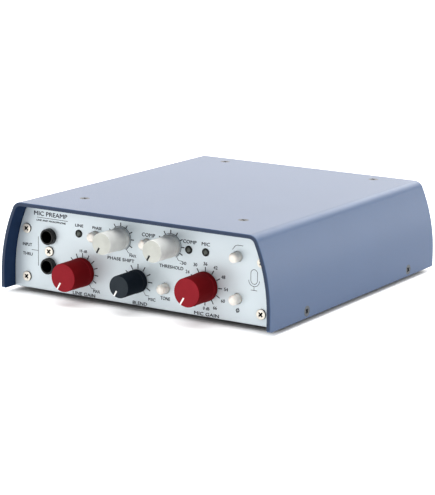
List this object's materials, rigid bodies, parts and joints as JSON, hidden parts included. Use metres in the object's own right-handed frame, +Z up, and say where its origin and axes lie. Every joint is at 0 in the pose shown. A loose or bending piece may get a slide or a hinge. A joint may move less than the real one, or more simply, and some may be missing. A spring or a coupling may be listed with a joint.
{
  "type": "microphone preamp",
  "caption": "Desktop microphone preamp: bent metal cover with curved sides, recessed control panel with turning knobs, push buttons and jack sockets, connectors at the rear.",
  "frame": {"origin": "under the middle of the whole object, at the level its feet rest on", "axes": "+X to the right as seen from the front, +Y from the control panel to the rear, +Z up"},
  "size_m": [0.165, 0.189, 0.05],
  "materials": {
    "blue_paint": "fine textured powder coat, satin",
    "black_paint": "fine textured powder coat, matte",
    "silver_panel": "bead-blasted and anodised, satin",
    "rear_panel": "bead-blasted and anodised, satin",
    "bare_aluminium": "mill finish",
    "black_screws": "black oxide",
    "nickel_screws": "warm nickel plate",
    "plated_steel": "zinc plate",
    "red_plastic": "soft touch",
    "navy_plastic": "soft touch",
    "white_plastic": "soft touch",
    "ivory_plastic": "semi-gloss moulded",
    "shaft_steel": "ground",
    "black_plastic": "moulded",
    "control_bodies": "moulded",
    "light_plastic": "smoked, unlit",
    "connector_metal": "satin nickel",
    "contact_metal": "gold plate",
    "foot_rubber": "matte",
    "circuit_board": "green solder mask",
    "transformer_iron": "varnished laminations",
    "capacitor_sleeve": "shrunk sleeve",
    "chip_resin": "moulded resin",
    "relay_case": "moulded",
    "ribbon_plastic": "grey flat cable"
  },
  "bodies": {
    "chassis": {"base_tray": "black_paint", "board_screws": "nickel_screws", "board_standoffs": "plated_steel", "control_board": "circuit_board", "cross_braces": "bare_aluminium", "dc_inlet": "black_plastic", "dc_inlet_pin": "contact_metal", "filter_capacitors": "capacitor_sleeve", "front_panel": "silver_panel", "front_panel_screws": "nickel_screws", "gain_switch": "control_bodies", "input_transformer": "transformer_iron", "jack_contacts": "contact_metal", "jack_housing": "black_plastic", "jack_screw": "nickel_screws", "left_side_rail": "bare_aluminium", "light_bezels": "black_plastic", "light_lenses": "light_plastic", "main_board": "circuit_board", "main_output_insert": "black_plastic", "main_output_pins": "contact_metal", "main_output_shell": "connector_metal", "mic_input_insert": "black_plastic", "mic_input_shell": "connector_metal", "mic_input_sockets": "contact_metal", "output_transformer": "transformer_iron", "potentiometers": "control_bodies", "power_switch_housing": "black_plastic", "push_switches": "control_bodies", "rear_panel": "rear_panel", "rear_panel_screws": "nickel_screws", "regulator_heatsink": "bare_aluminium", "relays": "relay_case", "ribbon_cable": "ribbon_plastic", "right_side_rail": "bare_aluminium", "rubber_feet": "foot_rubber", "side_cover_screws": "black_screws", "signal_chips": "chip_resin", "top_cover": "blue_paint", "top_cover_screws": "black_screws", "xlr_screws": "black_screws"},
    "instrument_gain_control": {"instrument_gain_knob": "red_plastic", "instrument_gain_shaft": "shaft_steel"},
    "blend_control": {"blend_knob": "navy_plastic", "blend_shaft": "shaft_steel"},
    "mic_gain_control": {"mic_gain_knob": "red_plastic", "mic_gain_shaft": "shaft_steel"},
    "phase_control": {"phase_knob": "white_plastic", "phase_shaft": "shaft_steel"},
    "threshold_control": {"threshold_knob": "white_plastic", "threshold_shaft": "shaft_steel"},
    "instrument_button_press": {"instrument_button": "ivory_plastic"},
    "compressor_button_press": {"compressor_button": "ivory_plastic"},
    "tone_button_press": {"tone_button": "ivory_plastic"},
    "filter_button_press": {"filter_button": "ivory_plastic"},
    "polarity_button_press": {"polarity_button": "ivory_plastic"},
    "phantom_button_press": {"phantom_button": "ivory_plastic"},
    "ground_lift_button_press": {"ground_lift_button": "ivory_plastic"},
    "latch": {"mic_input_latch": "connector_metal"},
    "rocker": {"power_rocker": "black_plastic"}
  },
  "joints": [
    {"name": "instrument_gain_turn", "type": "hinge", "parent": "chassis", "child": "instrument_gain_control", "pos_m": [-0.0362, -0.07725, 0.0156], "axis": [0, 1, 0], "range_deg": [0, 300]},
    {"name": "blend_turn", "type": "hinge", "parent": "chassis", "child": "blend_control", "pos_m": [-0.0014, -0.07725, 0.0156], "axis": [0, 1, 0], "range_deg": [0, 300]},
    {"name": "mic_gain_turn", "type": "hinge", "parent": "chassis", "child": "mic_gain_control", "pos_m": [0.0392, -0.07725, 0.0183], "axis": [0, 1, 0], "range_deg": [-30, 300]},
    {"name": "phase_turn", "type": "hinge", "parent": "chassis", "child": "phase_control", "pos_m": [-0.0122, -0.07725, 0.0364], "axis": [0, 1, 0], "range_deg": [0, 300]},
    {"name": "threshold_turn", "type": "hinge", "parent": "chassis", "child": "threshold_control", "pos_m": [0.0184, -0.07725, 0.0364], "axis": [0, 1, 0], "range_deg": [0, 300]},
    {"name": "instrument_button_travel", "type": "slide", "parent": "chassis", "child": "instrument_button_press", "axis": [0, 1, 0], "range_m": [0, 0.0025], "stiffness_N_per_m": 300},
    {"name": "compressor_button_travel", "type": "slide", "parent": "chassis", "child": "compressor_button_press", "axis": [0, 1, 0], "range_m": [0, 0.0025], "stiffness_N_per_m": 300},
    {"name": "tone_button_travel", "type": "slide", "parent": "chassis", "child": "tone_button_press", "axis": [0, 1, 0], "range_m": [0, 0.0025], "stiffness_N_per_m": 300},
    {"name": "filter_button_travel", "type": "slide", "parent": "chassis", "child": "filter_button_press", "axis": [0, 1, 0], "range_m": [0, 0.0025], "stiffness_N_per_m": 300},
    {"name": "polarity_button_travel", "type": "slide", "parent": "chassis", "child": "polarity_button_press", "axis": [0, 1, 0], "range_m": [0, 0.0025], "stiffness_N_per_m": 300},
    {"name": "phantom_button_travel", "type": "slide", "parent": "chassis", "child": "phantom_button_press", "axis": [0, -1, 0], "range_m": [0, 0.002], "stiffness_N_per_m": 300},
    {"name": "ground_lift_button_travel", "type": "slide", "parent": "chassis", "child": "ground_lift_button_press", "axis": [0, -1, 0], "range_m": [0, 0.002], "stiffness_N_per_m": 300},
    {"name": "latch_travel", "type": "slide", "parent": "chassis", "child": "latch", "axis": [0, -1, 0], "range_m": [0, 0.001], "stiffness_N_per_m": 400},
    {"name": "power_rocker_tilt", "type": "hinge", "parent": "chassis", "child": "rocker", "pos_m": [-0.035, 0.08945, 0.025], "axis": [1, 0, 0], "range_deg": [0, 20]}
  ]
}
